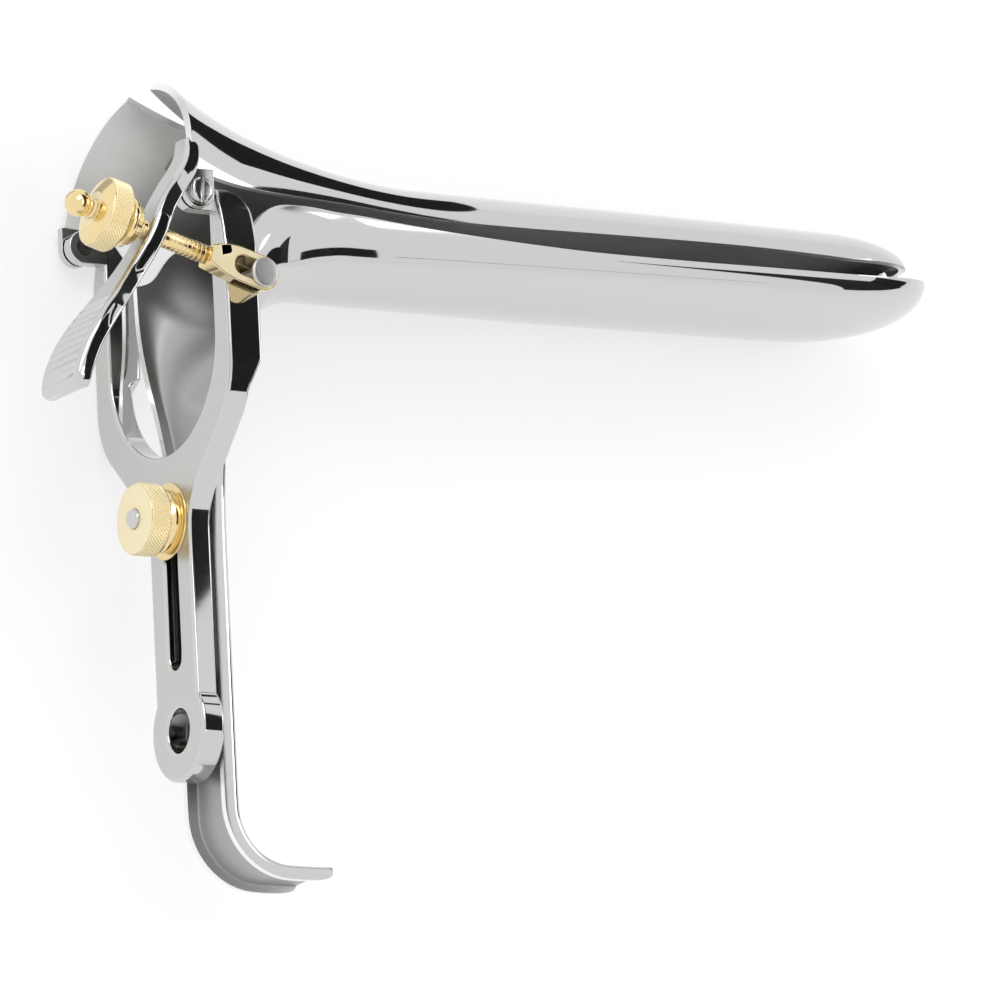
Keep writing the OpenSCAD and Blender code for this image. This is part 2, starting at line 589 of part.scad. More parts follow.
// The ball keeps the nut on the rod, so it stands just beyond the nut's farthest place
ball_reach = collar_at + collar_l + rod_nut_l + rod_nut_face_l + side_gap + ball_r;
module thrust_collar() color("gold") on_rod(collar_at) difference() {
    rotate_extrude() polygon([[0, 0], [collar_r * 0.8, 0], [collar_r * 0.8, collar_l * 0.3],
        [collar_r, collar_l * 0.35], [collar_r, collar_l * 0.7], [collar_r * 0.85, collar_l * 0.75],
        [collar_r * 0.85, collar_l], [0, collar_l]]);
    translate([0, 0, -overrun]) cylinder(r = rod_r + running_fit, h = collar_l + 2 * overrun);
}

module rod_nut() color("gold") on_rod(collar_at + collar_l) difference() {
    rotate_extrude() polygon([[0, 0], [rod_nut_r * 0.95, 0], [rod_nut_r, rod_nut_r * 0.05],
        [rod_nut_r, rod_nut_l - rod_nut_r * 0.05], [rod_nut_r * 0.95, rod_nut_l],
        [rod_nut_r * 0.5, rod_nut_l + rod_nut_face_l], [0, rod_nut_l + rod_nut_face_l]]);
    translate([0, 0, -overrun])
        cylinder(r = rod_r + running_fit, h = rod_nut_l + rod_nut_face_l + 2 * overrun);
}

module rod_pivot_screw() color("lightgray")
    translate([pivot_x, -pivot_drop, rod_z + rod_eye_t / 2 + running_fit])
    slotted_screw(pivot_r, rod_z + rod_eye_t / 2 + running_fit - window_half_w - side_gap, pivot_head_r,
                  pivot_head_h);

// The part lies on its far side, on the outside of the far arm and the widest place of the lower blade
lie_tilt = atan((yoke_half_w - lower_half_w) / (lower_reach - tip_l - yoke_front - arm_t));
eye_at = [yoke_front + strip_t / 2, -eye_drop];
module lay_down() rotate([0, lie_tilt, 0]) translate([-eye_at.x, -eye_at.y, 0]) children();

lay_down() lower_blade();
lay_down() handle_stud();
lay_down() slide_washer();
lay_down() thumb_nut();
lay_down() yoke_frame();
lay_down() near_hinge_screw();
lay_down() far_hinge_screw();
lay_down() rod_pivot_screw();
lay_down() upper_blade();
lay_down() thumb_lever();
lay_down() adjusting_rod();
lay_down() rod_end_ball();
lay_down() rod_nut();
lay_down() thrust_collar();
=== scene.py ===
# %% [markdown]
# # A bivalve speculum in polished steel and brass
# The instrument is made of two troughs of polished sheet steel, a slotted yoke that slides on the handle,
# a thumb lever, and two knurled brass nuts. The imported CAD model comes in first. It gives every piece its
# place and its size, so each new piece is modelled in the same frame and needs no fitting.

# %% Load the frame
import bpy, bmesh, math
from mathutils import Matrix, Vector


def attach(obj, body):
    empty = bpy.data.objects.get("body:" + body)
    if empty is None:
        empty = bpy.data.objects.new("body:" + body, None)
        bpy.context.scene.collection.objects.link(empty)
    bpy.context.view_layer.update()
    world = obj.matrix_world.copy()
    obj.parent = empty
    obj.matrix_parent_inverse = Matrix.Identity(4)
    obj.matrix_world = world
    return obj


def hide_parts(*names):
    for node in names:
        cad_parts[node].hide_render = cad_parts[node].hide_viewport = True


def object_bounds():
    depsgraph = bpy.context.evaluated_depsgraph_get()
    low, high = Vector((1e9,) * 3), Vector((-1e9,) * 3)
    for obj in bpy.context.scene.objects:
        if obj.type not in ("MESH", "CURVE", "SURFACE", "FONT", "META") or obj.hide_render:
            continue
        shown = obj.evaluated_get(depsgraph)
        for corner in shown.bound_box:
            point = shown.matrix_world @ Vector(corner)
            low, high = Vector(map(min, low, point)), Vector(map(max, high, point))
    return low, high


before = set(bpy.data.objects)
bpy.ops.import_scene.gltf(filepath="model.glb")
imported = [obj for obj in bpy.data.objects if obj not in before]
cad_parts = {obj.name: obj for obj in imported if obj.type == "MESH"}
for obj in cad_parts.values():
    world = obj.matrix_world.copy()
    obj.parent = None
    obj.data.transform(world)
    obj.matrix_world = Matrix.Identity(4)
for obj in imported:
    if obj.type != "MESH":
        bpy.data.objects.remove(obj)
cad_box = [list(v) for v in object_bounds()]
MM = 0.001

# %% [markdown]
# The part lies on its far side, tilted a little because its arms are wider than its blades. The pieces are
# easier to think about while the instrument stands straight, with the hinge axis at the origin, X towards the
# blades' tips and Y up. One matrix then lays that drawing down onto the table, in metres.

# %% From the drawing to the table
LOWER_REACH, LOWER_HALF_W, TIP_FROM = 137.4, 16.0, 0.84
YOKE_HALF_W, YOKE_FRONT, STRIP_T, ARM_T, EYE_DROP = 20.0, 3.3, 3.7, 5.6, 76.2
LIE_TILT = math.atan((YOKE_HALF_W - LOWER_HALF_W) / (LOWER_REACH * TIP_FROM - YOKE_FRONT - ARM_T))
YOKE_EYE = Vector((YOKE_FRONT + STRIP_T / 2, -EYE_DROP, 0))
LAY = Matrix.Scale(MM, 4) @ Matrix.Rotation(LIE_TILT, 4, "Y") @ Matrix.Translation(-YOKE_EYE)
print("tilt", round(math.degrees(LIE_TILT), 2), "degrees")

# %% [markdown]
# Five small helpers do the routine work. Two add a bevel or a subdivision. The others: one turns a finished bmesh into an object that rides on its body,
# one draws a smooth curve through a few key values, and one copies a CAD solid so that it can be finished.

# %% Helpers for every piece
def smooth_between(keys, x):
    """A smooth value at x, through (x, value) keys in rising order, without overshoot."""
    if x <= keys[0][0]:
        return keys[0][1]
    if x >= keys[-1][0]:
        return keys[-1][1]
    k = max(i for i in range(len(keys) - 1) if keys[i][0] <= x)
    rise = [(b[1] - a[1]) / (b[0] - a[0]) for a, b in zip(keys, keys[1:])]
    def slope(i):
        if i == 0:
            return rise[0]
        if i == len(keys) - 1:
            return rise[-1]
        a, b = rise[i - 1], rise[i]
        return 0 if a * b <= 0 else 2 * a * b / (a + b)
    step = keys[k + 1][0] - keys[k][0]
    t = (x - keys[k][0]) / step
    a, b, sa, sb = keys[k][1], keys[k + 1][1], slope(k) * step, slope(k + 1) * step
    return (a * (2 * t**3 - 3 * t**2 + 1) + sa * (t**3 - 2 * t**2 + t)
            + b * (3 * t**2 - 2 * t**3) + sb * (t**3 - t**2))


def finish_piece(bm, name, body, materials, matrix=LAY, stands_for=()):
    """Lays the bmesh down, makes it an object with its materials, and fastens it to its body."""
    bmesh.ops.transform(bm, matrix=matrix, verts=bm.verts)
    mesh = bpy.data.meshes.new(name)
    for face in bm.faces:
        face.smooth = True
    bm.to_mesh(mesh)
    bm.free()
    piece = bpy.data.objects.new(name, mesh)
    bpy.context.scene.collection.objects.link(piece)
    for material in materials:
        mesh.materials.append(material)
    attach(piece, body)
    if stands_for:
        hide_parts(*stands_for)
    return piece


def copy_of_solid(node):
    """A merged copy of a CAD node's mesh, back in the straight drawing's millimetres."""
    bm = bmesh.new()
    bm.from_mesh(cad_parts[node].data)
    bmesh.ops.transform(bm, matrix=LAY.inverted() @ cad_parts[node].matrix_world, verts=bm.verts)
    bmesh.ops.remove_doubles(bm, verts=bm.verts, dist=0.002)
    bmesh.ops.dissolve_limit(bm, angle_limit=math.radians(1), verts=bm.verts, edges=bm.edges)
    return bm


def bevel_modifier(piece, width, segments=3, angle=35):
    mod = piece.modifiers.new("Rounded edges", "BEVEL")
    mod.width, mod.segments, mod.limit_method = width * MM, segments, "ANGLE"
    mod.angle_limit = math.radians(angle)
    mod.use_clamp_overlap = True
    mod.harden_normals = True
    mod.miter_outer = "MITER_ARC"
    return mod


def subdivision(piece, levels=2):
    mod = piece.modifiers.new("Subdivision", "SUBSURF")
    mod.levels = mod.render_levels = levels
    return mod

# %% [markdown]
# ## Finishes
# Polished stainless steel is a bare metal with a low roughness. What makes it look real is that the polish is
# never perfect: the buffing wheel leaves faint streaks, and the roughness drifts over a few centimetres. One
# node group makes both, so that every steel on the part can share it with its own strength.

# %% A buffed-surface group, shared by the steels
def buffed_group():
    group = bpy.data.node_groups.new("Buffed surface", "ShaderNodeTree")
    face = group.interface
    for label, kind, value in (("Streaks across", "NodeSocketFloat", 900.0),
                               ("Streaks along", "NodeSocketFloat", 60.0),
                               ("Roughness", "NodeSocketFloat", 0.1), ("Drift", "NodeSocketFloat", 0.05),
                               ("Relief", "NodeSocketFloat", 0.02)):
        socket = face.new_socket(label, in_out="INPUT", socket_type=kind)
        socket.default_value = value
    face.new_socket("Roughness", in_out="OUTPUT", socket_type="NodeSocketFloat")
    face.new_socket("Normal", in_out="OUTPUT", socket_type="NodeSocketVector")
    nodes, links = group.nodes, group.links
    here, out = nodes.new("NodeGroupInput"), nodes.new("NodeGroupOutput")
    coordinate = nodes.new("ShaderNodeTexCoord")
    scale = nodes.new("ShaderNodeCombineXYZ")
    links.new(here.outputs["Streaks along"], scale.inputs[0])
    links.new(here.outputs["Streaks across"], scale.inputs[1])
    links.new(here.outputs["Streaks across"], scale.inputs[2])
    stretch = nodes.new("ShaderNodeVectorMath")
    stretch.operation = "MULTIPLY"
    links.new(coordinate.outputs["Object"], stretch.inputs[0])
    links.new(scale.outputs[0], stretch.inputs[1])
    streaks = nodes.new("ShaderNodeTexNoise")
    streaks.inputs["Scale"].default_value = 1.0
    streaks.inputs["Detail"].default_value = 4.0
    links.new(stretch.outputs[0], streaks.inputs["Vector"])
    clouds = nodes.new("ShaderNodeTexNoise")
    clouds.inputs["Scale"].default_value = 45.0
    clouds.inputs["Detail"].default_value = 2.0
    links.new(coordinate.outputs["Object"], clouds.inputs["Vector"])
    both = nodes.new("ShaderNodeMath")
    both.operation = "ADD"
    links.new(streaks.outputs[0], both.inputs[0])
    links.new(clouds.outputs[0], both.inputs[1])
    centred = nodes.new("ShaderNodeMath")
    centred.operation = "SUBTRACT"
    centred.inputs[1].default_value = 1.0
    links.new(both.outputs[0], centred.inputs[0])
    amount = nodes.new("ShaderNodeMath")
    amount.operation = "MULTIPLY_ADD"
    links.new(centred.outputs[0], amount.inputs[0])
    links.new(here.outputs["Drift"], amount.inputs[1])
    links.new(here.outputs["Roughness"], amount.inputs[2])
    links.new(amount.outputs[0], out.inputs["Roughness"])
    bump = nodes.new("ShaderNodeBump")
    bump.inputs["Distance"].default_value = 0.0001
    links.new(here.outputs["Relief"], bump.inputs["Strength"])
    links.new(streaks.outputs[0], bump.inputs["Height"])
    links.new(bump.outputs[0], out.inputs["Normal"])
    return group


BUFFED = buffed_group()


def metal(name, colour, roughness, drift, relief, across=900.0, along=60.0, bare=1.0):
    """A bare metal with the buffed surface, each with its own strength."""
    material = bpy.data.materials.new(name)
    material.use_nodes = True
    nodes, links = material.node_tree.nodes, material.node_tree.links
    shader = nodes["Principled BSDF"]
    shader.inputs["Base Color"].default_value = (*colour, 1)
    shader.inputs["Metallic"].default_value = bare
    surface = nodes.new("ShaderNodeGroup")
    surface.node_tree = BUFFED
    surface.inputs["Streaks across"].default_value = across
    surface.inputs["Streaks along"].default_value = along
    surface.inputs["Roughness"].default_value = roughness
    surface.inputs["Drift"].default_value = drift
    surface.inputs["Relief"].default_value = relief
    links.new(surface.outputs["Roughness"], shader.inputs["Roughness"])
    links.new(surface.outputs["Normal"], shader.inputs["Normal"])
    return material


polished_steel = metal("Polished steel", (0.61, 0.61, 0.61), 0.05, 0.04, 0.02)
satin_steel = metal("Satin steel", (0.46, 0.455, 0.45), 0.44, 0.10, 0.25, across=1500, along=150)
# The rims of the sheets get a brighter steel than their faces: a painted highlight along each rim.
rim_steel_painted_highlight = metal("Rim steel, painted highlight", (0.92, 0.92, 0.92), 0.30, 0.04, 0.02)
pale_satin_steel = metal("Pale satin steel", (0.60, 0.60, 0.59), 0.36, 0.10, 0.25, across=1500, along=150)
turned_steel = metal("Turned steel", (0.62, 0.62, 0.62), 0.16, 0.06, 0.05)
bright_brass = metal("Bright brass", (0.86, 0.68, 0.36), 0.14, 0.08, 0.05)
satin_brass = metal("Satin brass", (0.90, 0.79, 0.52), 0.38, 0.08, 0.15, bare=0.55)
# A darker copy of the satin steel for the upper blade's inside past the mouth: painted shade under the arch.
inner_satin_painted_shade = metal("Inner satin steel, painted shade", (0.34, 0.335, 0.33), 0.40, 0.10, 0.25, across=1500, along=150)
print("materials:", [m.name for m in bpy.data.materials])

# %% [markdown]
# ## The pressed blades
# Each blade is one sheet, so it is modelled as one open skin that later gets its thickness. The skin starts
# as a single row of edges across the blade's tip. Extruding that row again and again, and moving each new row
# to its own place, lays the skin along the blade. A rounded cross-section (a superellipse) gives a soft
# trough when its power is 2, and a channel with upright flanges when its power is high.

# %% A sheet drawn ring by ring
def section_points(half_width, height, power, steps=14):
    """(across, rise) of the outside skin from one free edge to the other."""
    points = []
    for k in range(-steps, steps + 1):
        angle = math.radians(90 * k / steps)
        s, c = math.sin(angle), max(math.cos(angle), 0.0)
        points.append((math.copysign(half_width * abs(s) ** (2 / power), s), height * (1 - c ** (2 / power))))
    return points


def draw_sheet(stations):
    """stations: (x, y, wall direction in degrees, half width, height, power) from one end to the other."""
    bm = bmesh.new()
    def ring_places(station):
        x, y, direction, half_width, height, power = station
        wall = Vector((math.cos(math.radians(direction)), math.sin(math.radians(direction)), 0))
        return [Vector((x, y, 0)) + wall * rise + Vector((0, 0, across))
                for across, rise in section_points(half_width, height, power)]
    first = [bm.verts.new(p) for p in ring_places(stations[0])]
    edges = [bm.edges.new(pair) for pair in zip(first, first[1:])]
    row = first
    for station in stations[1:]:
        made = bmesh.ops.extrude_edge_only(bm, edges=edges)["geom"]
        partner = {}
        new_verts = {g for g in made if isinstance(g, bmesh.types.BMVert)}
        for v in new_verts:
            old = next(e.other_vert(v) for e in v.link_edges if e.other_vert(v) not in new_verts)
            partner[old] = v
        row = [partner[v] for v in row]
        for v, place in zip(row, ring_places(station)):
            v.co = place
        edges = [bm.edges.get(pair) for pair in zip(row, row[1:])]
    return bm

# %% [markdown]
# The lower blade and the handle are the same sheet. Its course is straight along the blade, turns down in a
# bend of 20 mm, runs down the handle, and ends in the hook. The free edge, the width and the power change
# slowly along that course. The tip is round in plan, so its first rows shrink like the end of an ellipse.

# %% The lower blade's course
SHEET = 1.1
WEB_X, BEND_R, HOOK_R, HOOK_L = 10.4, 20.0, 8.0, 6.5
BEND_C, HOOK_C = (WEB_X + BEND_R, -9.2 - BEND_R), (WEB_X + HOOK_R, -88.0)
TIP_DROP, EDGE_Y, TIP_L = 7.4, -1.7, 0.16 * 137.4

edge_height = [(30.4, -0.05), (38, -0.75), (46, -1.3), (60, -2.0), (72, -2.3), (86, -2.2),
               (100, -1.95), (115.4, -1.7)]
body_width = [(30.4, 14.8), (46, 15.2), (60, 15.6), (76, 15.9), (100, 16.0), (115.4, 16.0)]
bend_height = [(0, 9.15), (8, 9.6), (15, 10.8), (22, 12.2), (28, 13.3), (33, 12.9), (38, 11.6), (45, 10.95)]
bend_width = [(0, 14.8), (22, 14.65), (38, 14.5), (52, 14.2), (60, 13.6), (68, 12.5), (76, 11.2),
              (83, 10.0), (90, 9.0)]
handle_width = [(-47, 6.0), (-41, 6.3), (-35, 7.3), (-29.2, 9.0)]


def tip_round(share):
    return math.sqrt(max(0.0, 1 - (1 - share) ** 2))


def lower_stations():
    rows = []
    for k in range(12):
        share = 1 - math.cos(math.radians(90 * k / 12))
        r = tip_round(share)
        top = EDGE_Y + 2.6 * (1 - share) ** 1.6
        low = top - (top + TIP_DROP) * r ** 1.15 - 1.65 * (1 - r)
        rows.append((LOWER_REACH - share * TIP_L, low, 90, 1.5 + 14.5 * r, top - low, 2.0))
    for k in range(26):
        x = 115.4 - (115.4 - 30.4) * k / 26
        low = -7.4 - 1.8 * (115.4 - x) / 85
        rows.append((x, low, 90, smooth_between(body_width, x), smooth_between(edge_height, x) - low, 2.0))
    for k in range(21):
        a = 90 * k / 20
        s, c = math.sin(math.radians(a)), math.cos(math.radians(a))
        flange = (BEND_R + 3.1) / max(s, math.sin(math.radians(45))) - BEND_R
        height = smooth_between(bend_height, a) if a < 45 else flange
        rows.append((BEND_C[0] - BEND_R * s, BEND_C[1] + BEND_R * c, 90 + a, smooth_between(bend_width, a),
                     height, 2 + 3 * (a / 90) ** 3))
    for k in range(1, 15):
        y = -29.2 - (88 - 29.2) * k / 15
        rows.append((WEB_X, y, 180, smooth_between(handle_width, y), 3.1, 5.0))
    for k in range(11):
        a = 9 * k
        s, c = math.sin(math.radians(a)), math.cos(math.radians(a))
        rows.append((HOOK_C[0] - HOOK_R * c, HOOK_C[1] - HOOK_R * s, 180 + a, 6.0,
                     3.1 * (1 - 0.2 * a / 90), 5.0))
    for share, h in ((0.4, 0.8), (0.75, 0.76), (0.93, 0.64), (1.0, 0.5)):
        rows.append((HOOK_C[0] + share * HOOK_L, HOOK_C[1] - HOOK_R, 270, 6.0, h * 3.1, 5.0))
    return rows


def give_thickness(piece):
    """The sheet grows inwards from the outside skin; its inside gets its own steel (on the upper blade partly a
    darker copy, painted shade), and its rim a brighter steel, a painted highlight along it.
    """
    mod = piece.modifiers.new("Sheet", "SOLIDIFY")
    mod.thickness = SHEET * MM
    mod.offset = -1.0
    mod.use_even_offset = True
    mod.use_quality_normals = True
    mod.material_offset = 1
    # The rim takes the third material, the brighter steel that paints the rim's highlight.
    mod.material_offset_rim = 2
    return mod


bm = draw_sheet(lower_stations())
bmesh.ops.recalc_face_normals(bm, faces=bm.faces)
# The trough opens upwards, so a face at its lowest place has to look down
lowest = min(bm.faces, key=lambda f: f.calc_center_median().y + 100 * (f.calc_center_median().x < 60))
if lowest.normal.y > 0:
    bmesh.ops.reverse_faces(bm, faces=bm.faces)
print("lower sheet:", len(bm.faces), "faces")
lower = finish_piece(bm, "lower_blade_sheet", "handle", [polished_steel, satin_steel, rim_steel_painted_highlight],
                     stands_for=["lower_blade"])
give_thickness(lower)
bevel_modifier(lower, 0.42, 2, 50).harden_normals = False
subdivision(lower, 2)

# %% [markdown]
# The upper blade is a shallow arch that opens into the flared mouth. Its rows lean back more and more towards
# the mouth, so that the rim stands nearly upright. The V notch at the top of the rim is cut afterwards.

# %% The upper blade
UPPER_REACH, FLARE_END, EAR_BACK = 133.6, 42.0, 1.6
UPPER_EDGE, ARCH = 0.9, 7.0
upper_edge_height = [(-1.6, 3.1), (4, 2.4), (10, 1.9), (16, 1.75), (26, 1.5), (36, 0.9), (46, 0.5), (58, 0.6),
                     (71, 0.9), (98, 1.3), (112, 1.1), (116.2, 0.95)]


def upper_stations():
    rows = []
    for k in range(12):
        share = 1 - math.cos(math.radians(90 * k / 12))
        r = tip_round(share)
        foot = 0.95 + 1.6 * (1 - share) ** 1.6
        top = foot + (UPPER_EDGE + ARCH - foot) * r ** 1.15 + 1.65 * (1 - r)
        rows.append((UPPER_REACH - share * 0.13 * UPPER_REACH, top, -90, 1.5 + 13.9 * r, top - foot, 2.0))
    for k in range(22):
        x = 116.2 - (116.2 - FLARE_END) * k / 22
        foot, w = smooth_between(upper_edge_height, x), 15.4 * (0.975 + 0.025 * (x - 42) / 74.2)
        rows.append((x, UPPER_EDGE + ARCH, -90, w, UPPER_EDGE + ARCH - foot, 2.0))
    for k in range(27):
        share = k / 26
        wide = share ** 3.2
        x = FLARE_END - share * (FLARE_END + EAR_BACK)
        top = UPPER_EDGE + ARCH + share ** 1.75 * (20.6 - UPPER_EDGE - ARCH)
        lean = wide * math.degrees(math.atan(3.6 / 17.5))
        rows.append((x + wide * 3.6, top, -90 - lean, 15.015 + wide * (19.2 - 15.015),
                     top - smooth_between(upper_edge_height, x), 2.0))
    return rows


bm = draw_sheet(upper_stations())
bmesh.ops.recalc_face_normals(bm, faces=bm.faces)
highest = max(bm.faces, key=lambda f: f.calc_center_median().y)
if highest.normal.y < 0:
    bmesh.ops.reverse_faces(bm, faces=bm.faces)
# The notch: two slanting cuts through the crown, then the sliver between them is taken out
notch_half, notch_end, rim_x = 3.4, 15.0, 2.0
for side in (-1, 1):
    crown = [f for f in bm.faces if f.calc_center_median().y > UPPER_EDGE + ARCH + 1.2]
    geom = crown + list({e for f in crown for e in f.edges}) + list({v for f in crown for v in f.verts})
    direction = Vector((notch_end - rim_x - 1, 0, -side * notch_half)).normalized()
    across = Vector((-direction.z, 0, direction.x))
    bmesh.ops.bisect_plane(bm, geom=geom, dist=1e-5, plane_co=Vector((notch_end, 0, 0)), plane_no=across)
def in_notch(face):
    c = face.calc_center_median()
    half = notch_half * (notch_end - c.x) / (notch_end - rim_x - 1)
    return c.y > UPPER_EDGE + ARCH + 1.2 and c.x < notch_end and abs(c.z) < half
bmesh.ops.delete(bm, geom=[f for f in bm.faces if in_notch(f)], context="FACES")
# Past the mouth the faces take material 3. The outside stays polished, and the inside becomes the darker satin copy,
# painted shade under the arch.
for face in bm.faces:
    face.material_index = 3 if face.calc_center_median().x > 12 else 0
print("upper sheet:", len(bm.faces), "faces")
upper = finish_piece(bm, "upper_blade_sheet", "blade",
                     [polished_steel, pale_satin_steel, rim_steel_painted_highlight, polished_steel, inner_satin_painted_shade, rim_steel_painted_highlight],
                     stands_for=["upper_blade"])
give_thickness(upper)
bevel_modifier(upper, 0.42, 2, 50).harden_normals = False
subdivision(upper, 2)

# %% [markdown]
# ## The yoke
# The yoke is a stout strip with a window, a slot and an eye. Only its outline is complicated, so the outline is
# drawn flat, filled, and pushed to its thickness in one go. Its two arms are thicker than the strip. Their back
# corners are moved afterwards. A wide bevel then gives the soft edges that a polishing wheel leaves.

# %% The yoke's outline, across the part and up
STRIP_W, STUD_DROP, WINDOW_FOOT, WINDOW_HALF_W = 12.0, 45.0, 34.3, 15.6
ARM_TOP, ARM_TURN, LUG_R = 1.2, -10.0, 2.5


def arc(centre, radius, start, end, steps):
    """Points on an arc, ends included; the angles are in degrees from the first axis."""
    return [(centre[0] + radius * math.cos(math.radians(start + (end - start) * k / steps)),
             centre[1] + radius * math.sin(math.radians(start + (end - start) * k / steps)))
            for k in range(steps + 1)]


def yoke_outline():
    shoulder = (YOKE_HALF_W, -WINDOW_FOOT + 0.235 * YOKE_HALF_W)
    foot = (STRIP_W / 2, shoulder[1] - YOKE_HALF_W + STRIP_W / 2)
    reach = math.tan(math.radians(22.5))
    eye_turn = math.degrees(math.acos(6 / 7.6))
    side = arc((0, -EYE_DROP), 7.6, -90, eye_turn, 26)
    side += arc((foot[0] + 9, foot[1] - 9 * reach), 9, 180, 135, 9)
    side += arc((shoulder[0] - 12, shoulder[1] + 12 * reach), 12, -45, 0, 12)
    side += [(YOKE_HALF_W, y) for y in (-22, -18, -14, ARM_TURN)]
    for k in range(1, 13):
        t = k / 12
        side.append((YOKE_HALF_W - (YOKE_HALF_W - WINDOW_HALF_W - 1.9) * t * t,
                     ARM_TURN + t * (ARM_TOP - ARM_TURN)))
    # Down inside the window, round its foot to the middle
    middle_y = -WINDOW_FOOT + 0.95 * WINDOW_HALF_W
    side += [(WINDOW_HALF_W, y) for y in (ARM_TOP, -4, -9, -14)]
    side += arc((0, middle_y), WINDOW_HALF_W, 0, -90, 26)
    return side


def loop_of(bm, points):
    verts = [bm.verts.new((YOKE_FRONT, up, across)) for across, up in points]
    return [bm.edges.new((verts[i], verts[(i + 1) % len(verts)])) for i in range(len(verts))]


right_side = yoke_outline()
outline = right_side + [(-across, up) for across, up in right_side[-2:0:-1]]
slot_foot = -STUD_DROP - 20.3
slot = arc((0, -STUD_DROP), 1.8, 0, 180, 14) + arc((0, slot_foot), 1.8, 180, 360, 14)
bm = bmesh.new()
edges = loop_of(bm, outline) + loop_of(bm, slot) + loop_of(bm, arc((0, -EYE_DROP), 3.2, 0, 352.5, 47))
bmesh.ops.triangle_fill(bm, use_beauty=True, use_dissolve=False, edges=edges, normal=(-1, 0, 0))
made = bmesh.ops.extrude_face_region(bm, geom=bm.faces[:])["geom"]
back = [g for g in made if isinstance(g, bmesh.types.BMVert)]
bmesh.ops.translate(bm, verts=back, vec=(STRIP_T, 0, 0))
for v in back:
    thick = (smooth_between([(-29, 0), (-24.6, 1)], v.co.y)
             * smooth_between([(15.58, 0), (15.6, 1)], abs(v.co.z)))
    v.co.x += (ARM_T - STRIP_T) * thick
    if v.co.y > ARM_TOP - 4:
        rise = (v.co.y - ARM_TOP + 4) / 4
        v.co.x -= 4 * (1 - math.sqrt(max(0, 1 - rise * rise)))
bmesh.ops.recalc_face_normals(bm, faces=bm.faces)
for f in bm.faces:
    f.material_index = 1 if f.normal.x < -0.9 else 0
print("yoke:", len(bm.faces), "faces")
yoke = finish_piece(bm, "yoke_body", "yoke", [polished_steel, pale_satin_steel], stands_for=["yoke_frame"])
bevel_modifier(yoke, 0.85, 4, 50).material = 0

# %% [markdown]
# Each arm carries a small lug that reaches back to the hinge screw. The upper blade hangs from lugs of its own
# beside them. Both kinds are a round plate with a straight shoulder, so one function makes all four.

# %% The four hinge lugs
def hinge_lug(name, body, z, thickness, shoulder):
    """A round plate on the hinge axis; shoulder gives the corners of the part that joins it to its carrier."""
    bm = bmesh.new()
    round_part = arc((0, 0), LUG_R, shoulder[0][2], shoulder[1][2], 30)
    points = [shoulder[0][:2]] + round_part + [shoulder[1][:2]]
    verts = [bm.verts.new((x, y, z)) for x, y in points]
    bm.faces.new(verts)
    made = bmesh.ops.extrude_face_region(bm, geom=bm.faces[:])["geom"]
    bmesh.ops.translate(bm, verts=[g for g in made if isinstance(g, bmesh.types.BMVert)], vec=(0, 0, thickness))
    bmesh.ops.recalc_face_normals(bm, faces=bm.faces)
    lug = finish_piece(bm, name, body, [polished_steel])
    bevel_modifier(lug, 0.2, 2, 40)


for label, side in (("near", 1), ("far", -1)):
    hinge_lug("blade_lug_" + label, "blade", 18.0 if side > 0 else -19.2, 1.2,
              ((2.5, 3.4, 0), (-2.5, 3.4, -180)))
    hinge_lug("yoke_lug_" + label, "yoke", 15.6 if side > 0 else -17.5, 1.9,
              ((4.2, -2.5, -90), (4.2, 1.1, -334)))
print("hinge lugs: 4")

# %% [markdown]
# The hinge screws, the stud and the washer are plain turned pieces. Their CAD solids already have the
# right shape, so
# a merged copy of each is enough, with a fine bevel to catch the light along its edges.

# %% Rounded copies of the small CAD solids
def rounded_copy(node, name, body, material, width, segments=3, angle=35):
    piece = finish_piece(copy_of_solid(node), name, body, [material], stands_for=[node])
    bevel_modifier(piece, width, segments, angle)
    return piece


for node, body in (("near_hinge_screw", "yoke"), ("far_hinge_screw", "yoke"), ("handle_stud", "handle")):
    screw = rounded_copy(node, node + "_turned", body, turned_steel, 0.08, 2)
ring = rounded_copy("slide_washer", "slide_washer_turned", "handle", bright_brass, 0.1, 2)

# %% [markdown]
# ## The thumb lever
# The lever is a bar bent in a soft S, broad across the hand and thin the other way. It is drawn like the
# sheets, ring by ring along its middle line, but each ring is closed: a rectangle with well-rounded corners.
# The grooves of the thumb pad are rings that dip, so the grooves run right across the pad.

# %% The lever's rings
LEVER_REACH, LEVER_DROP, LEVER_ROOT, LEVER_T, NECK_W, PAD_W, ROD_Z = 25.6, 33.0, 8.2, 2.6, 5.6, 11.5, 22.2
lever_line = [(-LEVER_REACH * x, -LEVER_DROP + y * (LEVER_DROP + LEVER_ROOT)) for x, y in (
    (0.01, 1), (0.06, 0.925), (0.13, 0.86), (0.235, 0.785), (0.34, 0.69), (0.405, 0.6), (0.47, 0.53),
    (0.585, 0.43), (0.715, 0.33), (0.835, 0.235), (0.93, 0.14), (0.985, 0.05), (1, 0))]


def along_line(points, t):
    """A point at t from 0 to 1 on a smooth curve through the points, each with an equal share of t."""
    keys = [i / (len(points) - 1) for i in range(len(points))]
    return Vector((smooth_between([(k, p[0]) for k, p in zip(keys, points)], t),
                   smooth_between([(k, p[1]) for k, p in zip(keys, points)], t), 0))


def lever_section(half_w, half_t, outer=0.85, inner=0.4, per_corner=6):
    """A rectangle with round corners, larger ones on the outward side, and a flat part for the grooves."""
    outer, inner = min(outer, half_t * 0.8), min(inner, half_t * 0.6)
    points = []
    for centre, radius, start in (((half_w - inner, half_t - inner), inner, 0),
                                  ((inner - half_w, half_t - inner), inner, 90),
                                  ((outer - half_w, outer - half_t), outer, 180),
                                  ((half_w - outer, outer - half_t), outer, 270)):
        if start == 270:
            points += [(outer + 0.2 - half_w, -half_t), (half_w - outer - 0.2, -half_t)]
        points += arc(centre, radius, start, start + 90, per_corner - 1)
    return points


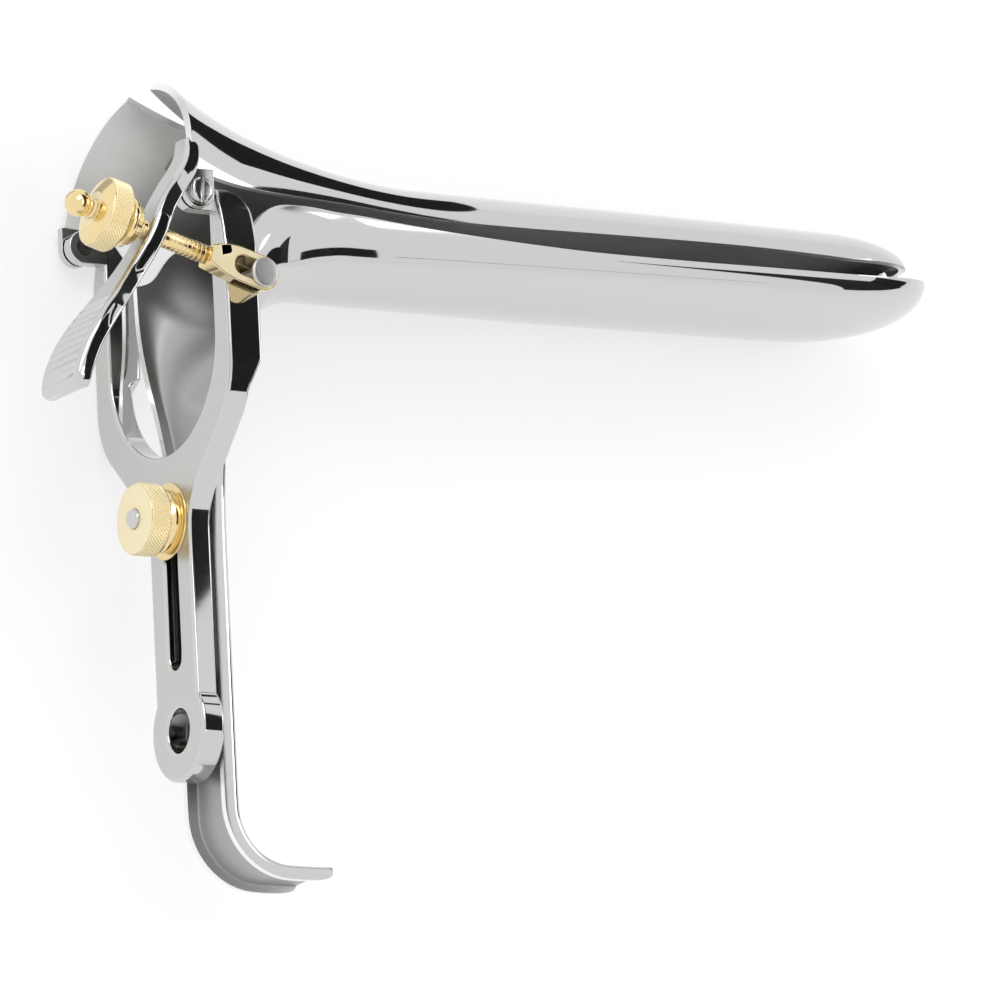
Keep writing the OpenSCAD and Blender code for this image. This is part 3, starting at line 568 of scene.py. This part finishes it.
def draw_bar(rings):
    """rings: lists of places, all of one length; joins them into a closed bar with capped ends."""
    bm = bmesh.new()
    row = [bm.verts.new(p) for p in rings[0]]
    edges = [bm.edges.new((row[i], row[(i + 1) % len(row)])) for i in range(len(row))]
    first = edges
    for places in rings[1:]:
        made = bmesh.ops.extrude_edge_only(bm, edges=edges)["geom"]
        new_verts = {g for g in made if isinstance(g, bmesh.types.BMVert)}
        partner = {next(e.other_vert(v) for e in v.link_edges if e.other_vert(v) not in new_verts): v
                   for v in new_verts}
        row = [partner[v] for v in row]
        for v, place in zip(row, places):
            v.co = place
        edges = [bm.edges.get((row[i], row[(i + 1) % len(row)])) for i in range(len(row))]
    bmesh.ops.contextual_create(bm, geom=first)
    bmesh.ops.contextual_create(bm, geom=edges)
    bmesh.ops.recalc_face_normals(bm, faces=bm.faces)
    return bm


def lever_rings(count=190, grooves=10):
    rings = []
    for k in range(count + 1):
        t = k / count
        here = along_line(lever_line, t)
        ahead = along_line(lever_line, min(t + 0.004, 1)) - along_line(lever_line, max(t - 0.004, 0))
        outward = Vector((ahead.y, -ahead.x, 0)).normalized()
        height = (here.y + LEVER_DROP) / (LEVER_DROP + LEVER_ROOT)
        half_w = NECK_W / 2 + (PAD_W - NECK_W) / 2 * smooth_between(
            [(0, 0.72), (0.04, 0.95), (0.1, 1.0), (0.2, 0.97), (0.3, 0.72), (0.38, 0.34), (0.46, 0.08), (0.56, 0),
             (0.8, 0), (1, -0.4)], height)
        lean = 5.8 * smooth_between([(0.66, 0), (0.76, 0.12), (0.88, 0.5), (1, 1)], height)
        groove = 0
        if 0.025 < height < 0.32:
            groove = 0.45 * max(0, math.cos(2 * math.pi * (grooves - 1) * (height - 0.035) / 0.275)) ** 0.7
        end = min(1, 0.35 + 0.65 * min(1, t / 0.02, (1 - t) / 0.012))
        half_t = LEVER_T / 2 * end
        places = []
        for across, thick in lever_section(half_w, half_t):
            dip = groove if thick < -0.99 * half_t and abs(across) < half_w - 1.0 else 0
            places.append(here - outward * (thick + dip) + Vector((0, 0, ROD_Z - lean + across)))
        rings.append(places)
    return rings


bm = draw_bar(lever_rings())
for face in bm.faces:
    face.material_index = 1 if face.normal.x * 0.75 - face.normal.y * 0.66 < -0.9 else 0
print("lever:", len(bm.faces), "faces")
lever = finish_piece(bm, "thumb_lever_body", "blade", [polished_steel, pale_satin_steel],
                     stands_for=["thumb_lever"])

# %% [markdown]
# ## The brass screw
# A thread is one small V carried round the rod in a spiral. The spin operator does exactly that when each
# of its steps also moves along the axis. The flat eye is an
# outline with a slot, pushed to its thickness.

# %% The rod, its thread and its ball
PIVOT, SLOPE = Vector((7.2, -12.9, ROD_Z)), math.radians(15.8)
ROD_DIR = Vector((-math.cos(SLOPE), math.sin(SLOPE), 0))
ALONG_ROD = LAY @ Matrix.Translation(PIVOT) @ ROD_DIR.to_track_quat("Z", "Y").to_matrix().to_4x4()
bm = bmesh.new()
ROD_EYE = 2.65
eye_outline = (arc((0, 0), ROD_EYE, 90, 270, 28)
               + [(3.6, -ROD_EYE), (4.6, -2.6), (5.6, -2.45), (6.6, -2.2), (7.6, -1.85)]
               + [(8.7, -1.42), (8.7, 1.42)] + [(7.6, 1.85), (6.6, 2.2), (5.6, 2.45), (4.6, 2.6), (3.6, ROD_EYE)])
eye_slot = arc((0, 0), 1.41, 90, 270, 18) + arc((3.4, 0), 1.41, -90, 90, 18)
edges = []
for points in (eye_outline, eye_slot):
    verts = [bm.verts.new((x, y, -1.9)) for x, y in points]
    edges += [bm.edges.new((verts[i], verts[(i + 1) % len(verts)])) for i in range(len(verts))]
bmesh.ops.triangle_fill(bm, use_beauty=True, use_dissolve=False, edges=edges, normal=(0, 0, -1))
made = bmesh.ops.extrude_face_region(bm, geom=bm.faces[:])["geom"]
bmesh.ops.translate(bm, verts=[g for g in made if isinstance(g, bmesh.types.BMVert)], vec=(0, 0, 3.8))
# The back of the eye is narrower than its flat face, so its sides slope under and hardly show
back = [v for v in bm.verts if v.co.z < 0 and abs(v.co.y) > 1.42]
for v in back:
    v.co.y = math.copysign(1.42 + 0.3 * (abs(v.co.y) - 1.42), v.co.y)
bmesh.ops.recalc_face_normals(bm, faces=bm.faces)
for f in bm.faces:
    f.material_index = 1 if f.normal.z > 0.9 else 0
AT_PIVOT = LAY @ Matrix.Translation(PIVOT) @ Matrix.Rotation(math.pi - SLOPE, 4, "Z")
rod = finish_piece(bm, "adjusting_rod_body", "rod", [bright_brass, satin_brass], matrix=AT_PIVOT,
                   stands_for=["adjusting_rod"])
bevel_modifier(rod, 0.2, 3, 40).material = 0


def turned(profile, steps=64):
    """A closed turned shape about +Z from its (radius, height) profile."""
    bm = bmesh.new()
    verts = [bm.verts.new((r, 0, z)) for r, z in profile]
    edges = [bm.edges.new(pair) for pair in zip(verts, verts[1:])]
    bmesh.ops.spin(bm, geom=verts + edges, cent=(0, 0, 0), axis=(0, 0, 1), angle=2 * math.pi, steps=steps,
                   use_merge=True)
    bmesh.ops.remove_doubles(bm, verts=bm.verts, dist=1e-4)
    bmesh.ops.recalc_face_normals(bm, faces=bm.faces)
    return bm


# The pivot post has a plain round head with a bright rim, and passes through the eye into the arm
post = finish_piece(turned([(0, -6.4), (1.35, -6.4), (1.35, 0), (2.05, 0), (2.2, 0.12), (2.2, 0.55), (2.08, 0.68),
                            (1.7, 0.72), (1.2, 0.74), (0.6, 0.75), (0, 0.75)]),
                    "rod_pivot_turned", "yoke", [pale_satin_steel],
                    matrix=LAY @ Matrix.Translation((7.2, -12.9, ROD_Z + 1.9 + 0.06)), stands_for=["rod_pivot_screw"])

AT_COLLAR = 20.905
collar_profile = [(1.46, 0), (2.8, 0), (2.96, 0.16), (2.96, 0.75), (3.1, 0.9), (3.5, 0.98), (3.67, 1.15),
                  (3.7, 1.5),
                  (3.67, 1.85), (3.5, 2.05), (3.2, 2.15), (3.1, 2.25), (3.14, 2.85), (3.0, 3), (1.46, 3), (1.46, 0)]
collar = finish_piece(turned(collar_profile), "thrust_collar_turned", "collar", [bright_brass],
                      matrix=ALONG_ROD @ Matrix.Translation((0, 0, AT_COLLAR)), stands_for=["thrust_collar"])
shank = finish_piece(turned([(0, 6.5), (1.395, 6.5), (1.395, 28.6), (0, 28.6)]), "adjusting_rod_shank", "rod",
                     [bright_brass], matrix=ALONG_ROD)

pitch, turns, per_turn = 0.75, 27, 28
bm = bmesh.new()
ridge = [bm.verts.new(p) for p in ((1.395, 0, 0.34), (1.46, 0, 0.42), (1.46, 0, 0.5), (1.395, 0, 0.58))]
ridge_edges = [bm.edges.new(pair) for pair in zip(ridge, ridge[1:])]
bmesh.ops.translate(bm, verts=bm.verts, vec=(-0.02, 0, 7.4))
bmesh.ops.spin(bm, geom=ridge + ridge_edges, cent=(0, 0, 0), axis=(0, 0, 1), dvec=(0, 0, pitch / per_turn),
               angle=2 * math.pi * turns, steps=turns * per_turn)
bmesh.ops.recalc_face_normals(bm, faces=bm.faces)
thread = finish_piece(bm, "adjusting_rod_thread", "rod", [bright_brass], matrix=ALONG_ROD)

ball = finish_piece(turned([(0.75, -1.7), (1.5, -1.7), (1.5, -1.45), (1.3, -1.25), (1.28, -1.1)]
                           + [(2 * math.cos(math.radians(a)), 2 * math.sin(math.radians(a)))
                              for a in range(-50, 90, 7)] + [(0, 2)]),
                    "rod_end_ball_turned", "rod", [bright_brass],
                    matrix=ALONG_ROD @ Matrix.Translation((0, 0, 30.4)), stands_for=["rod_end_ball"])

# %% [markdown]
# ## The knurled nuts
# A diamond knurl is a chequerboard of small pyramids. A turned band with many steps already has the right
# grid of vertices: every second one is pushed out, and each square is split along its two low corners.

# %% Two knurled nuts
def knurled_nut(radius, knurl_from, knurl_to, face_profile, back_profile, cells=60, relief=0.26):
    """A turned nut with a diamond knurl between two heights. The other profiles are smooth."""
    steps, rows = 2 * cells, 2 * round((knurl_to - knurl_from) / (2 * math.pi * radius / cells)) + 1
    band = [(radius - relief, knurl_from + (knurl_to - knurl_from) * j / rows) for j in range(rows + 1)]
    bm = turned(back_profile + band + face_profile, steps)
    high = set()
    for v in bm.verts:
        r, angle = math.hypot(v.co.x, v.co.y), math.atan2(v.co.y, v.co.x)
        if abs(r - (radius - relief)) > 0.01 or not knurl_from - 1e-3 < v.co.z < knurl_to + 1e-3:
            continue
        i = round(angle / (2 * math.pi) * steps)
        j = round((v.co.z - knurl_from) / (knurl_to - knurl_from) * rows)
        if (i + j) % 2 == 0 and 0 < j < rows:
            v.co.x *= radius / r
            v.co.y *= radius / r
            high.add(v)
    for face in [f for f in bm.faces if len(f.verts) == 4 and any(v in high for v in f.verts)]:
        low = [v for v in face.verts if v not in high]
        if len(low) == 2:
            bmesh.ops.connect_verts(bm, verts=low)
    return bm, high


def finish_nut(bm, high, name, body, matrix, node):
    bm.faces.index_update()
    knurl_faces = {f.index for f in bm.faces if any(v in high for v in f.verts)}
    for f in bm.faces:
        f.material_index = 1 if f.index in knurl_faces or abs(f.normal.z) > 0.95 else 0
    piece = finish_piece(bm, name, body, [bright_brass, satin_brass], matrix=matrix, stands_for=[node])
    for polygon in piece.data.polygons:
        polygon.use_smooth = polygon.index not in knurl_faces
    return piece


bm, high = knurled_nut(5.3, 0.15, 3.15, [(5.1, 3.3), (4.9, 3.38), (2.65, 4.2), (1.46, 4.2)],
                       [(1.46, 0), (4.9, 0), (5.05, 0.03)])
print("upper nut:", len(bm.faces), "faces")
AT_NUT = AT_COLLAR + 3
finish_nut(bm, high, "rod_nut_knurled", "nut_high", ALONG_ROD @ Matrix.Translation((0, 0, AT_NUT)), "rod_nut")
bm, high = knurled_nut(5.4, 2.05, 5.15, [(5.2, 5.26), (5.0, 5.3), (1.56, 5.3)],
                       [(1.56, 0), (4.6, 0), (4.7, 0.1), (4.7, 1.2), (4.4, 1.4), (4.4, 1.75), (5.0, 1.9),
                        (5.2, 1.94)])
print("lower nut:", len(bm.faces), "faces")
finish_nut(bm, high, "thumb_nut_knurled", "nut_low",
           LAY @ Matrix.Translation((3.3 - 0.4, -45, 0)) @ Matrix.Rotation(-math.pi / 2, 4, "Y"), "thumb_nut")

# %% [markdown]
# ## The table, the light and the camera
# Metal shows what stands round it. A plain white room gives flat white metal, so a few dark cards stand
# outside the view, as in a photographer's tent. The camera is long and stands far back, as the photograph's
# does, so that the far and the near side of the instrument are nearly the same size.

# %% The camera
F_TO_DRAWING = Vector((6.8, 17, 0))
camera_place = LAY @ (Vector((-645.3, -348.6, 1114.2)) + F_TO_DRAWING)
turn = Matrix.Rotation(LIE_TILT, 3, "Y")
right, up, back = (turn @ Vector(v) for v in ((0.8519, -0.0512, 0.5211), (-0.0713, 0.9746, 0.2124),
                                              (-0.5187, -0.2182, 0.8266)))
camera_data = bpy.data.cameras.new("Camera")
camera_data.lens, camera_data.sensor_width = 324, 36
camera_data.clip_end = 20
camera = bpy.data.objects.new("Camera", camera_data)
bpy.context.scene.collection.objects.link(camera)
camera.matrix_world = Matrix.Translation(camera_place) @ Matrix((right, up, back)).transposed().to_4x4()
bpy.context.scene.camera = camera

# %% The table and the room
low = cad_box[0][2]
bm = bmesh.new()
bmesh.ops.create_grid(bm, x_segments=1, y_segments=1, size=2.5)
mesh = bpy.data.meshes.new("Table top")
bmesh.ops.translate(bm, verts=bm.verts, vec=(0.05, 0, low))
bm.to_mesh(mesh)
bm.free()
table = bpy.data.objects.new("Table_top", mesh)
bpy.context.scene.collection.objects.link(table)
white = bpy.data.materials.new("White table")
white.use_nodes = True
nodes, links = white.node_tree.nodes, white.node_tree.links
nodes["Principled BSDF"].inputs["Base Color"].default_value = (0.9, 0.9, 0.9, 1)
nodes["Principled BSDF"].inputs["Roughness"].default_value = 0.9
# Six tenths of what the eye, metal and glass see of the table is plain white, so the shadow stays but is soft
path, glow = nodes.new("ShaderNodeLightPath"), nodes.new("ShaderNodeEmission")
mixed = nodes.new("ShaderNodeMixShader")
seen = nodes.new("ShaderNodeMath")
seen.operation, seen.use_clamp = "ADD", True
links.new(path.outputs["Is Camera Ray"], seen.inputs[0])
links.new(path.outputs["Is Glossy Ray"], seen.inputs[1])
also = nodes.new("ShaderNodeMath")
also.operation, also.use_clamp = "ADD", True
links.new(seen.outputs[0], also.inputs[0])
links.new(path.outputs["Is Transmission Ray"], also.inputs[1])
half = nodes.new("ShaderNodeMath")
half.operation = "MULTIPLY"
half.inputs[1].default_value = 0.6
links.new(also.outputs[0], half.inputs[0])
links.new(half.outputs[0], mixed.inputs[0])
links.new(nodes["Principled BSDF"].outputs[0], mixed.inputs[1])
links.new(glow.outputs[0], mixed.inputs[2])
links.new(mixed.outputs[0], nodes["Material Output"].inputs["Surface"])
mesh.materials.append(white)

world = bpy.data.worlds.new("Studio")
bpy.context.scene.world = world
world.use_nodes = True
nodes, links = world.node_tree.nodes, world.node_tree.links
background = nodes["Background"]
background.inputs["Color"].default_value = (1, 1, 1, 1)
background.inputs["Strength"].default_value = 1.0


def softbox(name, place, aim, size, power):
    data = bpy.data.lights.new(name, "AREA")
    data.shape, data.size, data.size_y, data.energy = "RECTANGLE", size[0], size[1], power
    lamp = bpy.data.objects.new(name, data)
    bpy.context.scene.collection.objects.link(lamp)
    lamp.location = place
    lamp.rotation_euler = (Vector(aim) - Vector(place)).to_track_quat("-Z", "Y").to_euler()
    return lamp


middle = LAY @ Vector((45, -20, 0))
softbox("Key", middle + Vector((-0.3, 0.6, 0.9)), middle, (0.8, 0.5), 3)
softbox("Over the bend", middle + 0.8 * Vector((0.25, -0.05, 0.96)), middle, (0.3, 0.35), 0.55)
softbox("Past the flare", middle + 0.7 * Vector((0.8, 0.22, 0.56)), middle, (0.25, 0.25), 0.3)


# %% [markdown]
# Each dark band on the polished steel is the picture of one card. A flat or gently curved face shows a card
# where the line of sight, turned over at the face, meets it. So a card that stands close, with its edge in the
# right place, gives a band with an edge in the right place.

# %% Dark cards
def dark_card(name, centre, toward, size, grey=0.01):
    """A card seen only in reflections: its centre and its facing in the straight drawing, its size in mm."""
    facing = Vector(toward).normalized()
    across = Vector((0, 1, 0)) if abs(facing.x) > 0.9 else Vector((1, 0, 0))
    along = (across - facing * facing.dot(across)).normalized()
    axes = Matrix((along, facing.cross(along), facing)).transposed().to_4x4()
    bm = bmesh.new()
    bmesh.ops.create_grid(bm, x_segments=1, y_segments=1, size=0.5)
    place = Matrix.Translation(centre) @ axes @ Matrix.Diagonal((*size, 1, 1))
    bmesh.ops.transform(bm, matrix=place, verts=bm.verts)
    bmesh.ops.transform(bm, matrix=LAY, verts=bm.verts)
    mesh = bpy.data.meshes.new(name)
    bm.to_mesh(mesh)
    bm.free()
    card = bpy.data.objects.new(name, mesh)
    bpy.context.scene.collection.objects.link(card)
    black = bpy.data.materials.new(name + " card")
    black.use_nodes = True
    black.node_tree.nodes["Principled BSDF"].inputs["Base Color"].default_value = (grey, grey, grey, 1)
    black.node_tree.nodes["Principled BSDF"].inputs["Roughness"].default_value = 1.0
    mesh.materials.append(black)
    card.visible_camera = card.visible_diffuse = card.visible_shadow = False
    return card


dark_card("Beside the arm", (38.75, -37, 110), (0, 0, 1), (65.5, 104))
dark_card("Beside the shoulder", (65.75, 42.5, 110), (0, 0, 1), (11.5, 45))
dark_card("Beside the lever", (30, 28, 110), (0, 0, 1), (48, 26))
dark_card("Above the arm", (43.5, 90, 104), (0, -0.3, 1), (107, 130))
dark_card("Behind the flare", (74, 86, 14), (-0.7, -0.7, 0), (45, 68))
dark_card("Below the bend", (43.6, -30, 19.5), (0, 1, 0), (6, 9))
dark_card("Thin line", (122, -92, 29), (0, 1, 0), (80, 1.4), 0.2)
dark_card("Below the tip", (305, -92, 100), (0, 1, 0), (250, 150))
dark_card("Past the tip", (300, -46, 88), (-1, 0, 0), (92, 120))
dark_card("Over the shoulder", (87, 120, 95), (0, -1, 0), (16, 40))
dark_card("Grey strip on the table", (90, 72, -21), (0, 0, 1), (260, 110), 0.42)

bpy.context.scene.view_settings.view_transform = "Standard"
